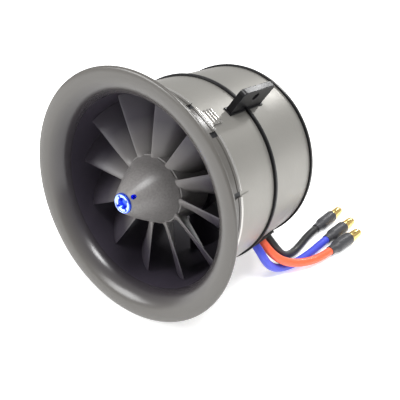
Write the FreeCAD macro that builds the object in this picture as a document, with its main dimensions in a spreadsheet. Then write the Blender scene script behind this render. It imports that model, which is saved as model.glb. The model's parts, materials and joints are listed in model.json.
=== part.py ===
import FreeCAD, Part
import math
import os
import re

import Sketcher
from FreeCAD import Placement, Rotation, Vector

# A 70 mm electric ducted fan for a model jet, lying on a bench.
# Every piece except the free leads is drawn in the fan's own frame: the axis is +Z and points with
# the airflow, a station is a distance along it from the joint between intake lip and duct, and the
# two mounting ears lie on X. One placement then lays the whole fan down on the floor.

# Driving dimensions: word, millimetres (or degrees, or a count), meaning.
DIMENSIONS = [
    ("bore_radius", 35.0, "inside of the duct"),
    ("shell_radius", 36.4, "outside of the duct sleeves"),
    ("ring_start", 28.75, "station of the mount ring, where the two sleeves meet"),
    ("ring_width", 1.3, "width of the mount ring"),
    ("ring_radius", 37.3, "outside of the mount ring"),
    ("duct_end", 58.5, "station of the outlet end"),
    ("flange_width", 0.8, "lip at the outlet end"),
    ("flange_radius", 37.0, "outside of the outlet lip"),
    ("band_width", 1.1, "black band in front of the outlet lip"),
    ("band_radius", 37.2, "outside of the black band"),
    ("flare_radius", 7.6, "radius of the intake lip's flare"),
    ("flare_turn", 80.44, "direction in which the flare ends, in front of straight out"),
    ("lip_wall", 1.5, "wall of the intake lip"),
    ("socket_radius", 37.25, "outside of the lip's socket on the duct"),
    ("socket_length", 7.4, "length of the lip's socket"),
    ("bead_height", 0.3, "bead along the socket's edge, and depth of the groove in front of it"),
    ("latch_height", 0.8, "height of a latch on the duct"),
    ("latch_length", 5.5, "how far a latch reaches over the duct"),
    ("latch_width", 9.0, "width of a latch, in degrees"),
    ("grip_height", 1.25, "height of the ridges on a latch"),
    ("clip_height", 0.3, "height of a long clip"),
    ("clip_length", 4.9, "how far a long clip reaches over the duct"),
    ("clip_width", 29.0, "width of a long clip, in degrees"),
    ("slot_start", 3.6, "front end of the slots that free the latches and clips"),
    ("slot_width", 3.0, "width of such a slot, in degrees"),
    ("ear_thick", 2.3, "thickness of a mounting ear"),
    ("ear_start", 19.6, "front end of an ear"),
    ("ear_length", 19.6, "length of an ear along the duct"),
    ("ear_tip", 45.7, "radius at an ear's outer edge"),
    ("ear_hole", 1.5, "radius of the hole in an ear"),
    ("ear_hole_out", 42.3, "radius at which the hole sits"),
    ("blade_tip", 34.6, "radius at the rotor blades' tips"),
    ("blade_count", 12, "rotor blades"),
    ("strut_count", 8, "seven stator vanes and the lead fairing"),
    ("hub_front", 7.1, "station of the hub's front face"),
    ("hub_rear", 20.8, "station of the hub's rear edge"),
    ("hub_nose", 12.9, "hub radius at its front"),
    ("hub_tail", 14.6, "hub radius at its rear"),
    ("hub_wall", 1.4, "wall of the hollow hub"),
    ("spinner_base", 6.68, "station of the spinner's rear edge"),
    ("boss_radius", 7.0, "boss in the hub"),
    ("boss_length", 8.0, "length of that boss"),
    ("hub_floor", 2.4, "thickness of the hub's front"),
    ("blade_front", 6.4, "station of the rotor blades' leading edges"),
    ("first_blade", 9.0, "direction of the first rotor blade"),
    ("spinner_radius", 12.44, "spinner radius at its rear edge"),
    ("spinner_tip", 7.7, "how far the spinner's cut tip lies in front of station 0"),
    ("spinner_bow", 80.0, "radius of the spinner's slightly convex side"),
    ("spinner_rim", 12.0, "radius of the spinner's step that sits in the hub"),
    ("spinner_inside", 10.4, "inside of that step"),
    ("cross_hole", 0.8, "radius of the hole across the spinner"),
    ("cross_hole_front", 6.6, "how far that hole lies in front of station 0"),
    ("cross_hole_angle", 195.0, "direction of that hole"),
    ("nut_radius", 3.6, "spinner nut"),
    ("nut_wall", 0.9, "how much the nut steps in where it enters the spinner"),
    ("nut_depth", 4.2, "how far the nut reaches into the spinner"),
    ("nut_front", 8.57, "how far the nut's face lies in front of station 0"),
    ("shaft_radius", 2.0, "motor shaft"),
    ("shaft_play", 0.03, "running clearance of the shaft in its bearings"),
    ("shaft_front", 8.0, "station of the shaft's front end"),
    ("seat_radius", 4.0, "outside of a bearing and of the adapter in the hub"),
    ("bearing_length", 3.0, "length of a bearing"),
    ("tube_radius", 5.2, "bearing tube of the motor's base"),
    ("base_radius", 13.2, "flange of the motor's base"),
    ("base_thick", 2.4, "thickness of that flange"),
    ("cup_floor", 2.0, "thickness of the cup's front wall"),
    ("cup_edge", 1.2, "rounding of the cup's front edge"),
    ("wire_gap", 4.3, "how far behind the cup's front the wires leave the motor"),
    ("screw_radius", 1.25, "motor screw"),
    ("screw_head", 2.5, "head of a motor screw"),
    ("head_height", 1.6, "height of that head"),
    ("screw_depth", 4.4, "length of a motor screw under its head"),
    ("screw_socket", 1.15, "socket in the head"),
    ("bell_wall", 0.7, "wall of the motor bell"),
    ("yoke_radius", 6.9, "ring of the stator stack that the teeth stand on"),
    ("tooth_width", 1.5, "width of a stator tooth"),
    ("coil_lap", 0.9, "how far the copper stands out at each end of the stack"),
    ("cup_radius", 15.4, "outside of the motor cup"),
    ("cup_wall", 1.0, "wall of the motor cup"),
    ("vane_chord", 17.5, "chord of a stator vane"),
    ("vane_set_back", 9.6, "how far behind the black ring the middle of a vane stands"),
    ("cup_front", 21.5, "station of the cup's front face"),
    ("cup_rear", 50.0, "station of the cup's open rear"),
    ("bell_radius", 13.6, "outside of the motor bell"),
    ("stack_radius", 11.3, "outside of the motor's stator stack"),
    ("stack_front", 28.4, "front of the stator stack"),
    ("stack_rear", 42.0, "rear of the stator stack"),
    ("lead_radius", 1.7, "silicone lead"),
    ("lead_pitch", 4.5, "spacing of the three leads in the grommet"),
    ("lead_station", 40.0, "station of the middle lead"),
    ("lead_angle", 276.6, "direction in which the leads leave, about the axis from +X"),
    ("ear_corner", 1.6, "rounding of an ear's outer corners"),
    ("ear_root", 0.8, "how far an ear is drawn into the sleeve before it is cut to the sleeve"),
    ("foot_half", 1.8, "half the width of the foot under an ear"),
    ("foot_height", 0.45, "height of that foot"),
    ("screw_circle", 9.5, "radius of the motor screws' circle"),
    ("shrink_lap", 2.2, "how far a heat-shrink sleeve covers its lead"),
    ("exit_run", 4.6, "a lead's straight run from the duct's bore, along its hole in the grommet"),
    ("shrink_length", 12.0, "how far it goes on over the plug"),
    ("shrink_radius", 2.7, "outside of the sleeve over the plug"),
    ("plug_radius", 2.0, "contact pin of a plug"),
    ("plug_end", 19.4, "end of the pin, from the lead's end"),
    ("roll", -56.6, "how far the fan is rolled as it lies"),
]

doc = FreeCAD.newDocument("ducted_fan")
sheet = doc.addObject("Spreadsheet::Sheet", "Dims")
for row, (word, value, meaning) in enumerate(DIMENSIONS, start=1):
    sheet.set(f"A{row}", word)
    sheet.set(f"B{row}", str(value))
    sheet.setAlias(f"B{row}", word)
    sheet.set(f"C{row}", meaning)
doc.recompute()
WORDS = {word for word, value, meaning in DIMENSIONS}


def bound(formula):
    """A formula in the sheet's words, as an expression that FreeCAD can follow."""
    return re.sub(r"[a-z_]+", lambda m: f"Dims.{m[0]}" if m[0] in WORDS else m[0], formula)


def size(formula):
    """The present value of a formula in the sheet's words."""
    return float(sheet.evalExpression(bound(formula)))


def polar(radius, degrees, station=0.0):
    turn = math.radians(degrees)
    return Vector(radius * math.cos(turn), radius * math.sin(turn), station)


# ---- building blocks -------------------------------------------------------------------------

nodes = {}


def keep(name, piece):
    """Makes a finished object a sub-part of the fan."""
    piece.Label = name
    nodes[name] = piece
    return piece


def solid_of(name, shape):
    """A sub-part or tool whose shape is worked out here."""
    piece = doc.addObject("Part::Feature", name)
    piece.Shape = shape
    return piece


def cylinder(radius, start, end, width=None, centre="0"):
    """A disc about the axis between two stations, or a sector of it that is width degrees wide."""
    piece = doc.addObject("Part::Cylinder", "disc")
    piece.setExpression("Radius", bound(radius))
    piece.setExpression("Height", bound(f"{end} - ({start})"))
    if width:
        piece.setExpression("Angle", bound(width))
    turn = size(f"{centre} - ({width}) / 2") if width else size(centre)
    piece.Placement = Placement(Vector(), Rotation(Vector(0, 0, 1), turn))
    piece.setExpression("Placement.Base.z", bound(start))
    return piece


def spoke(radius, inner, outer, angle, station, across="0"):
    """A round bar that points out from the axis."""
    piece = doc.addObject("Part::Cylinder", "spoke")
    piece.setExpression("Radius", bound(radius))
    piece.setExpression("Height", bound(f"{outer} - ({inner})"))
    out = polar(1, size(angle))
    side = polar(1, size(angle) + 90)
    base = out * size(inner) + side * size(across) + Vector(0, 0, size(station))
    piece.Placement = Placement(base, Rotation(Vector(0, 0, 1), out))
    return piece


def cut(name, base, *tools):
    piece = doc.addObject("Part::Cut", name)
    piece.Base = base
    piece.Tool = tools[0] if len(tools) == 1 else fuse(name + "_tools", *tools)
    return piece


def fuse(name, *pieces):
    piece = doc.addObject("Part::MultiFuse", name)
    piece.Shapes = list(pieces)
    return piece


def sector(name, outer, inner, start, end, width, centre):
    """A curved plate on the duct, width degrees wide about the direction centre."""
    return cut(name, cylinder(outer, start, end, width, centre), cylinder(inner, start, end))


def drawn(name, outline):
    """A body with a sketch in the plane of the axis and X. The outline lists (radius, station), and a
    third entry is the radius of the arc that leads to the next point, positive where the arc's centre
    is on the left."""
    body = doc.addObject("PartDesign::Body", name)
    sketch = body.newObject("Sketcher::SketchObject", name + "_outline")
    plane = next(f for f in body.Origin.OriginFeatures if f.Role == "XZ_Plane")
    sketch.AttachmentSupport = [(plane, "")]
    sketch.MapMode = "FlatFace"
    corners = [Vector(size(point[0]), size(point[1]), 0) for point in outline]
    # which end of each edge is its first corner and which its second: an arc may be stored reversed
    ends = []
    for index, point in enumerate(outline):
        here, there = corners[index], corners[(index + 1) % len(corners)]
        radius = size(point[2]) if len(point) == 3 else 0.0
        ends.append((2, 1) if radius < 0 else (1, 2))
        if not radius:
            sketch.addGeometry(Part.LineSegment(here, there))
            continue
        chord = there - here
        left = Vector(-chord.y, chord.x, 0).normalize()
        rise = abs(radius) - math.sqrt(radius ** 2 - (chord.Length / 2) ** 2)
        middle = (here + there) / 2 - left * math.copysign(rise, radius)
        first, last = (here, there) if radius > 0 else (there, here)
        sketch.addGeometry(Part.Arc(first, middle, last))
    for index, point in enumerate(outline):
        following = (index + 1) % len(outline)
        sketch.addConstraint(Sketcher.Constraint(
            "Coincident", index, ends[index][1], following, ends[following][0]))
        for kind, formula in (("DistanceX", point[0]), ("DistanceY", point[1])):
            number = sketch.addConstraint(Sketcher.Constraint(
                kind, -1, 1, index, ends[index][0], size(formula)))
            sketch.setExpression(f"Constraints[{number}]", bound(formula))
        if len(point) == 3:
            radius = f"abs({point[2]})"
            number = sketch.addConstraint(Sketcher.Constraint("Radius", index, size(radius)))
            sketch.setExpression(f"Constraints[{number}]", bound(radius))
    sketch.Visibility = False
    return body, sketch


def turned(name, outline):
    """A body turned about the axis."""
    body, sketch = drawn(name, outline)
    revolution = body.newObject("PartDesign::Revolution", name + "_turned")
    revolution.Profile = sketch
    revolution.ReferenceAxis = (sketch, ["V_Axis"])
    revolution.Angle = 360
    body.Tip = revolution
    return body


def tube(name, outer, inner, start, end):
    return turned(name, [(inner, start), (outer, start), (outer, end), (inner, end)])


def section(out, chord, stagger, thick, camber, station, shift=0.0):
    """A cambered blade section in the plane x = out, from its leading to its trailing edge.
    The stagger is the angle between the chord and the plane of rotation."""
    lean = math.radians(stagger)
    along = Vector(0, math.cos(lean), math.sin(lean))
    bow = Vector(0, math.sin(lean), -math.cos(lean))
    middle = Vector(out, shift, station)

    def at(share, rise):
        return middle + along * (share * chord) + bow * rise

    front, rear = thick * 0.5, thick * 0.3
    outside = Part.Arc(at(-0.5, front / 2), at(-0.05, camber + thick / 2), at(0.5, rear / 2)).toShape()
    trailing = Part.LineSegment(at(0.5, rear / 2), at(0.5, -rear / 2)).toShape()
    inside = Part.Arc(at(0.5, -rear / 2), at(-0.05, camber - thick / 2), at(-0.5, -front / 2)).toShape()
    nose = Part.Arc(at(-0.5, -front / 2), at(-0.5 - front / 2 / chord, 0), at(-0.5, front / 2)).toShape()
    return Part.Wire([outside, trailing, inside, nose])


def around(shape, count, first=0.0, skip=()):
    """Copies of a shape, evenly spaced about the axis."""
    copies = []
    for index in range(count):
        if index in skip:
            continue
        copy = shape.copy()
        copy.rotate(Vector(), Vector(0, 0, 1), first + index * 360 / count)
        copies.append(copy)
    return Part.Compound(copies)


# ---- duct ------------------------------------------------------------------------------------

# Centre of the intake lip's round rim: its radius and station.
RIM_CENTRE = ("bore_radius + flare_radius + (flare_radius - lip_wall / 2) * cos(flare_turn)",
              "-(flare_radius - lip_wall / 2) * sin(flare_turn)")


def intake_lip():
    """Bell mouth: a flare from the throat to the round rim, and a socket that clips on the duct."""
    crest = "(bore_radius + flare_radius)"
    inner = "(flare_radius - lip_wall)"
    rim_out, rim_front = RIM_CENTRE
    outline = [
        ("bore_radius", "0", "flare_radius"),
        (f"{crest} + flare_radius * cos(flare_turn)", "-flare_radius * sin(flare_turn)", "lip_wall / 2"),
        (f"{rim_out} + lip_wall / 2 * sin(flare_turn)", f"{rim_front} + lip_wall / 2 * cos(flare_turn)",
         "lip_wall / 2"),
        (f"{crest} + {inner} * cos(flare_turn)", f"-{inner} * sin(flare_turn)", f"-{inner}"),
        ("socket_radius", f"-sqrt({inner}^2 - ({crest} - socket_radius)^2)"),
        ("socket_radius", "socket_length - 2.2"),
        ("socket_radius - bead_height", "socket_length - 2.1"),
        ("socket_radius - bead_height", "socket_length - 1.8"),
        ("socket_radius", "socket_length - 1.7"),
        ("socket_radius", "socket_length - 0.6"),
        ("socket_radius + bead_height", "socket_length - 0.5"),
        ("socket_radius + bead_height", "socket_length"),
        ("shell_radius", "socket_length"),
        ("shell_radius", "0"),
    ]
    bell = turned("bell", outline)
    clips = []
    for centre in ("0", "180"):
        clips.append(sector("latch", "shell_radius + latch_height", "shell_radius", "socket_length - 0.5",
                            "socket_length + latch_length", "latch_width", centre))
        for ridge in range(3):
            start = f"socket_length + {1.2 + 1.5 * ridge}"
            clips.append(sector("grip", "shell_radius + grip_height", "shell_radius + latch_height / 2",
                                start, f"{start} + 0.6", "latch_width", centre))
    for centre in ("56", "236"):
        clips.append(sector("clip", "shell_radius + clip_height", "shell_radius", "socket_length - 0.5",
                            "socket_length + clip_length", "clip_width", centre))
    slots = []
    for centre in ("9", "189", "-9", "171", "40", "72", "220", "252"):
        slots.append(cylinder("socket_radius + 2", "slot_start", "socket_length + 6", "slot_width",
                              centre))
    freed = cut("slots", fuse("slot_sectors", *slots), cylinder("shell_radius", "0", "duct_end"))
    keep("intake_lip", cut("intake_lip", fuse("lip_with_clips", bell, *clips), freed))


def front_duct():
    """Front sleeve: the rotor turns inside it."""
    keep("front_duct", tube("front_duct", "shell_radius", "bore_radius", "0", "ring_start"))


def grommet_slot(grow, inner, outer):
    """The long hole for the three leads, or the grommet's plug that fills it."""
    half = size("lead_pitch")
    width = size("2 * lead_radius") + 2 * grow
    ends = [spoke(str(width / 2), inner, outer, "lead_angle", f"lead_station + {shift}")
            for shift in (-half, half)]
    bar = doc.addObject("Part::Box", "bar")
    bar.Length = 2 * half
    bar.Width = width
    bar.setExpression("Height", bound(f"{outer} - ({inner})"))
    out = polar(1, size("lead_angle"))
    side = polar(1, size("lead_angle") + 90)
    turn = Rotation(Vector(0, 0, 1), -side, out, "ZXY")
    corner = out * size(inner) + Vector(0, 0, size("lead_station") - half) + side * width / 2
    bar.Placement = Placement(corner, turn)
    return fuse("slot_block", bar, *ends)


def rear_duct():
    """Rear sleeve: it holds the stator, and its outlet end takes a thrust tube."""
    start = "ring_start + ring_width"
    band = "duct_end - flange_width - band_width"
    outline = [
        ("bore_radius", start), ("shell_radius", start), ("shell_radius", band),
        ("shell_radius", "duct_end - flange_width"), ("flange_radius", "duct_end - flange_width"),
        ("flange_radius", "duct_end"), ("bore_radius", "duct_end"),
    ]
    sleeve = turned("rear_sleeve", outline)
    keep("rear_duct", cut("rear_duct", sleeve, grommet_slot(1.0, "bore_radius - 3", "shell_radius + 3")))


def mount_ring():
    """Black ring between the two sleeves."""
    keep("mount_ring", tube("mount_ring", "ring_radius", "bore_radius", "ring_start",
                            "ring_start + ring_width"))


def mount_ears():
    """Two ears on the ring, each with one screw hole across it and a narrow foot along the sleeve."""
    ears = []
    for side in (0, 180):
        body, sketch = drawn("ear", [
            ("shell_radius - ear_root", "ear_start"), ("ear_tip", "ear_start"),
            ("ear_tip", "ear_start + ear_length"), ("shell_radius - ear_root", "ear_start + ear_length")])
        pad = body.newObject("PartDesign::Pad", "ear_plate")
        pad.Profile = sketch
        pad.setExpression("Length", bound("ear_thick"))
        pad.Midplane = True
        doc.recompute()
        rounded = body.newObject("PartDesign::Fillet", "ear_corners")
        outer_edges = [f"Edge{number}" for number, edge in enumerate(pad.Shape.Edges, start=1)
                       if abs(edge.tangentAt(edge.FirstParameter).y) > 0.9
                       and edge.CenterOfMass.x > size("ear_tip - 1")]
        rounded.Base = (pad, outer_edges)
        rounded.setExpression("Radius", bound("ear_corner"))
        body.Tip = rounded
        body.Placement = Placement(Vector(), Rotation(Vector(0, 0, 1), side))
        ears.append(body)
        ears.append(sector("foot", "shell_radius + foot_height", "shell_radius", "ear_start - foot_height",
                           "ear_start + ear_length + foot_height", "360 * foot_half / (pi * shell_radius)",
                           str(side)))
    holes = []
    for side in (-1, 1):
        hole = doc.addObject("Part::Cylinder", "hole")
        hole.setExpression("Radius", bound("ear_hole"))
        hole.setExpression("Height", bound("4 * ear_thick"))
        middle = Vector(side * size("ear_hole_out"), size("2 * ear_thick"),
                        size("ear_start + ear_length / 2"))
        hole.Placement = Placement(middle, Rotation(Vector(1, 0, 0), 90))
        holes.append(hole)
    keep("mount_ears", cut("mount_ears", fuse("both_ears", *ears),
                           cylinder("shell_radius", "0", "duct_end"),
                           cylinder("ring_radius", "ring_start", "ring_start + ring_width"), *holes))


def outlet_band():
    """Thin black band in front of the outlet lip, where a thrust tube's clamp sits."""
    keep("outlet_band", tube("outlet_band", "band_radius", "shell_radius",
                             "duct_end - flange_width - band_width", "duct_end - flange_width"))


# ---- stator and motor cup --------------------------------------------------------------------

def motor_cup():
    """Cup that holds the motor: a front wall with four screw holes, and a slot for the wires."""
    outline = [
        ("tube_radius", "cup_front"), ("cup_radius - cup_edge", "cup_front", "cup_edge"),
        ("cup_radius", "cup_front + cup_edge"), ("cup_radius", "cup_rear"),
        ("cup_radius - cup_wall", "cup_rear"), ("cup_radius - cup_wall", "cup_front + cup_floor"),
        ("tube_radius", "cup_front + cup_floor"),
    ]
    shell = turned("cup_shell", outline)
    holes = []
    for index in range(4):
        hole = cylinder("screw_radius + 0.35", "cup_front - 1", "cup_front + cup_floor + 1")
        hole.Placement.Base = polar(size("screw_circle"), 45 + 90 * index, size("cup_front - 1"))
        holes.append(hole)
    gap = spoke("2.1", "10", "cup_radius + 1", "lead_angle", "cup_front + wire_gap")
    keep("motor_cup", cut("motor_cup", shell, gap, *holes))


def annulus():
    """The flow passage between motor cup and sleeve."""
    length = size("cup_rear - cup_front")
    outer = Part.makeCylinder(size("bore_radius"), length, Vector(0, 0, size("cup_front")))
    inner = Part.makeCylinder(size("cup_radius"), length, Vector(0, 0, size("cup_front")))
    return outer.cut(inner)


def stator_vanes():
    """Seven curved vanes that take the swirl out of the flow and carry the motor cup."""
    middle = size("ring_start + ring_width + vane_set_back")
    wires = [section(out, size("vane_chord"), stagger, 1.5, -1.6, middle)
             for out, stagger in ((13.5, 112.0), (24.0, 109.0), (35.6, 106.0))]
    vane = Part.makeLoft(wires, True, False).common(annulus())
    piece = solid_of("stator_vanes", around(vane, int(size("strut_count")), size("lead_angle"), skip=(0,)))
    keep("stator_vanes", piece)


def lead_fairing():
    """Hollow strut in the place of the eighth vane; the motor's wires run inside it."""
    front, rear = size("cup_front + 1.4"), size("cup_rear") - 1.0
    half, wall, nose = 3.1, 0.7, 3.0
    root, reach = 13, 24

    def outline(inset, ahead, behind):
        points = [Vector(root, 0, ahead), Vector(root, half - inset, ahead + nose),
                  Vector(root, half - inset, behind - nose), Vector(root, 0, behind),
                  Vector(root, inset - half, behind - nose), Vector(root, inset - half, ahead + nose)]
        return Part.Face(Part.makePolygon(points + points[:1])).extrude(Vector(reach, 0, 0))

    shell = outline(0, front, rear).cut(outline(wall, front + wall, rear - wall)).common(annulus())
    keep("lead_fairing", solid_of("lead_fairing", around(shell, 1, size("lead_angle"))))


def lead_grommet():
    """Rubber grommet with three holes, one for each lead."""
    plug = grommet_slot(1.0, "bore_radius", "shell_radius + 0.1")
    collar = grommet_slot(1.7, "shell_radius + 0.05", "shell_radius + 0.9")
    holes = [spoke("lead_radius", "bore_radius - 2", "shell_radius + 3", "lead_angle",
                   f"lead_station + ({shift}) * lead_pitch") for shift in (-1, 0, 1)]
    keep("lead_grommet", cut("lead_grommet", fuse("grommet_block", plug, collar), *holes))


# ---- motor -----------------------------------------------------------------------------------

def motor_base():
    """Fixed end of the motor: a flange behind the cup's front wall and the bearing tube."""
    front = "cup_front + cup_floor"
    outline = [
        ("seat_radius", front), ("base_radius", front), ("base_radius", f"{front} + base_thick"),
        ("tube_radius", f"{front} + base_thick"), ("tube_radius", "stack_rear + 2"),
        ("seat_radius", "stack_rear + 2"),
    ]
    flange = turned("base_flange", outline)
    holes = []
    for index in range(4):
        hole = cylinder("screw_radius", "cup_front", "cup_front + 6")
        hole.Placement.Base = polar(size("screw_circle"), 45 + 90 * index, size("cup_front"))
        holes.append(hole)
    notch = spoke("1.9", "10.4", "cup_radius", "lead_angle", "cup_front + wire_gap")
    keep("motor_base", cut("motor_base", flange, notch, *holes))


def motor_screws():
    """Four cap screws through the cup's front wall into the motor's base."""
    seat = Vector(size("screw_circle"), 0, size("cup_front"))
    head = size("head_height")
    top = seat - Vector(0, 0, head)
    thread = Part.makeCylinder(size("screw_radius"), size("screw_depth"), seat)
    screw = Part.makeCylinder(size("screw_head"), head, top).fuse(thread)
    screw = screw.cut(Part.makeCylinder(size("screw_socket"), 1.0, top))
    keep("motor_screws", solid_of("motor_screws", around(screw, 4, 45)))


def bearing(name, start):
    """Small ball bearing with a groove in each face; its bore runs on the shaft with play."""
    bore = "shaft_radius + shaft_play"
    end = f"{start} + bearing_length"
    inner, outer = "shaft_radius + 0.7", "seat_radius - 0.6"
    outline = [
        (bore, start), (inner, start), (inner, f"{start} + 0.3"), (outer, f"{start} + 0.3"),
        (outer, start), ("seat_radius", start), ("seat_radius", end), (outer, end),
        (outer, f"{end} - 0.3"), (inner, f"{end} - 0.3"), (inner, end), (bore, end),
    ]
    keep(name, turned(name, outline))


def stator_core():
    """Laminated core with twelve teeth around the bearing tube."""
    front, length = size("stack_front"), size("stack_rear - stack_front")
    width = size("tooth_width")
    yoke = Part.makeCylinder(size("yoke_radius"), length, Vector(0, 0, front))
    yoke = yoke.cut(Part.makeCylinder(size("tube_radius"), length, Vector(0, 0, front)))
    tooth = Part.makeBox(5.0, width, length, Vector(6.0, -width / 2, front))
    shoe = Part.makeCylinder(size("stack_radius"), length, Vector(0, 0, front), Vector(0, 0, 1), 24)
    shoe = shoe.cut(Part.makeCylinder(10.5, length, Vector(0, 0, front)))
    shoe.rotate(Vector(), Vector(0, 0, 1), -12)
    teeth = around(tooth.fuse(shoe), 12)
    keep("stator_core", solid_of("stator_core", yoke.multiFuse(teeth.Solids).removeSplitter()))


def stator_windings():
    """Twelve copper coils, one around each tooth."""
    front, length = size("stack_front"), size("stack_rear - stack_front")
    lap, width = size("coil_lap"), size("tooth_width")
    coil = Part.makeBox(3.3, 3.1, length + 2 * lap, Vector(7.1, -1.55, front - lap))
    coil = coil.makeFillet(0.7, [e for e in coil.Edges if abs(e.tangentAt(e.FirstParameter).x) > 0.9])
    gap = Part.makeBox(6.0, width, length, Vector(6.0, -width / 2, front))
    keep("stator_windings", solid_of("stator_windings", around(coil.cut(gap), 12)))


def bends_of(points):
    """The arc radius at each inner point of a route: as large as its two runs allow."""
    bends = []
    for before, corner, after in zip(points, points[1:], points[2:]):
        half = (corner - before).getAngle(after - corner) / 2
        shorter = min((corner - before).Length, (after - corner).Length)
        bends.append(0.45 * shorter / math.tan(half))
    return bends


def rod(points, radius):
    """A round bar along straight runs that are joined by tangent arcs."""
    pieces = []
    entry = points[0]
    for before, corner, after, bend in zip(points, points[1:], points[2:], bends_of(points)):
        inward, outward = (corner - before).normalize(), (after - corner).normalize()
        half = inward.getAngle(outward) / 2
        trim = bend * math.tan(half)
        start, end = corner - inward * trim, corner + outward * trim
        middle = corner + (outward - inward).normalize() * (bend / math.cos(half) - bend)
        pieces += [Part.LineSegment(entry, start).toShape(), Part.Arc(start, middle, end).toShape()]
        entry = end
    pieces.append(Part.LineSegment(entry, points[-1]).toShape())
    ring = Part.Wire(Part.makeCircle(radius, points[0], points[1] - points[0]))
    return Part.Wire(pieces).makePipeShell([ring], True, False)


def motor_wires():
    """The motor's three wires, from the base through the fairing to the grommet."""
    shapes = []
    for place in (-1, 0, 1):
        station = size(f"lead_station + ({place}) * lead_pitch")
        start = size("cup_front + wire_gap")
        route = [Vector(11.6, place, start), Vector(22.0, place, start),
                 Vector(24.5, place, start + 5.0), Vector(28.5, place, station),
                 Vector(size("bore_radius"), place, station)]
        shapes.append(rod(route, 0.42))
    wires = around(Part.Compound(shapes), 1, size("lead_angle"))
    keep("motor_wires", solid_of("motor_wires", wires))


def motor_bell():
    """Outer can of the motor with its vented rear wall; it turns with the shaft."""
    mouth, wall = "cup_front + 5.4", "stack_rear + 2.6"
    outline = [
        ("bell_radius - bell_wall", mouth), ("bell_radius", mouth), ("bell_radius", f"{wall} + 0.9"),
        ("bell_radius - 0.9", f"{wall} + 1.8"), ("5", f"{wall} + 1.8"), ("5", f"{wall} + 3.4"),
        ("shaft_radius", f"{wall} + 3.4"), ("shaft_radius", wall),
        ("bell_radius - bell_wall", wall),
    ]
    can = turned("bell_can", outline)
    vents = []
    for index in range(6):
        vents.append(sector("vent", "11.4", "6.2", wall + " - 1", f"{wall} + 3", "38", str(60 * index)))
    keep("motor_bell", cut("motor_bell", can, *vents))


def motor_magnets():
    """Fourteen curved magnets on the inside of the bell."""
    front, length = size("stack_front"), size("stack_rear - stack_front")
    outside = size("bell_radius - bell_wall")
    outer = Part.makeCylinder(outside, length, Vector(0, 0, front), Vector(0, 0, 1), 22)
    magnet = outer.cut(Part.makeCylinder(size("stack_radius + 0.3"), length, Vector(0, 0, front)))
    keep("motor_magnets", solid_of("motor_magnets", around(magnet, 14)))


def motor_shaft():
    keep("motor_shaft", turned("motor_shaft", [
        ("0", "shaft_front"), ("shaft_radius - 0.3", "shaft_front"), ("shaft_radius", "shaft_front + 0.3"),
        ("shaft_radius", "stack_rear + 7.4"), ("shaft_radius - 0.3", "stack_rear + 7.7"),
        ("0", "stack_rear + 7.7")]))


def shaft_clip():
    """Retaining clip behind the bell."""
    thick, station = 0.7, size("stack_rear") + 6.1
    outer = Part.makeCylinder(size("shaft_radius") + 1.4, thick, Vector(0, 0, station))
    inner = Part.makeCylinder(size("shaft_radius"), thick, Vector(0, 0, station))
    mouth = Part.makeBox(5, 2.2, thick, Vector(0, -1.1, station))
    keep("shaft_clip", solid_of("shaft_clip", outer.cut(inner).cut(mouth)))


# ---- rotor -----------------------------------------------------------------------------------

HUB_OUTSIDE = [("0", "hub_front"), ("hub_nose", "hub_front"), ("hub_tail", "hub_rear"), ("0", "hub_rear")]


def rotor_hub():
    """Hollow hub with a central boss that sits on the adapter."""
    outline = [
        ("seat_radius", "hub_front"), ("hub_nose", "hub_front"), ("hub_tail", "hub_rear"),
        ("hub_tail - hub_wall", "hub_rear"), ("hub_nose - hub_wall", "hub_front + hub_floor"),
        ("boss_radius", "hub_front + hub_floor"), ("boss_radius", "hub_front + boss_length"),
        ("seat_radius", "hub_front + boss_length"),
    ]
    keep("rotor_hub", turned("rotor_hub", outline))


def rotor_blades():
    """Twelve twisted, cambered blades; their leading edges stand almost radial. A station is radius,
    chord, stagger in degrees, thickness and camber."""
    stations = ((11.8, 12.8, 57.0, 1.5, 0.9), (23.0, 15.6, 48.0, 1.2, 1.0), (35.6, 18.2, 40.0, 0.9, 0.9))
    leading = size("blade_front")
    wires = []
    for out, chord, stagger, thick, camber in stations:
        middle = leading + chord * math.sin(math.radians(stagger)) / 2
        wires.append(section(out, chord, stagger, thick, camber, middle))
    blade = Part.makeLoft(wires, True, False)
    length = size("hub_rear") + 4
    blade = blade.common(Part.makeCylinder(size("blade_tip"), length))
    core = [Vector(size(radius), 0, size(station)) for radius, station in HUB_OUTSIDE]
    core[0].z -= 5
    core.insert(1, Vector(core[1].x, 0, core[0].z))
    core[-1].z += 5
    core.insert(-1, Vector(core[-2].x, 0, core[-1].z))
    hub = Part.Face(Part.makePolygon(core + core[:1])).revolve(Vector(), Vector(0, 0, 1), 360)
    blade = blade.cut(hub)
    blades = around(blade, int(size("blade_count")), size("first_blade"))
    keep("rotor_blades", solid_of("rotor_blades", blades))


def spinner():
    """Conical nose with a small cross hole near its tip, which opens onto the nut's neck."""
    outline = [
        ("nut_radius - nut_wall", "-spinner_tip"), ("nut_radius + 0.35", "-spinner_tip", "spinner_bow"),
        ("spinner_radius", "spinner_base"), ("spinner_rim", "spinner_base"), ("spinner_rim", "hub_front"),
        ("spinner_inside", "hub_front"), ("spinner_inside", "spinner_base - 1.2"),
        ("nut_radius + 1.2", "-spinner_tip + nut_depth"),
        ("nut_radius - nut_wall", "-spinner_tip + nut_depth"),
    ]
    cone = turned("cone", outline)
    hole = spoke("cross_hole", "shaft_radius", "9", "cross_hole_angle", "-cross_hole_front")
    keep("spinner", cut("spinner", cone, hole))


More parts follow.
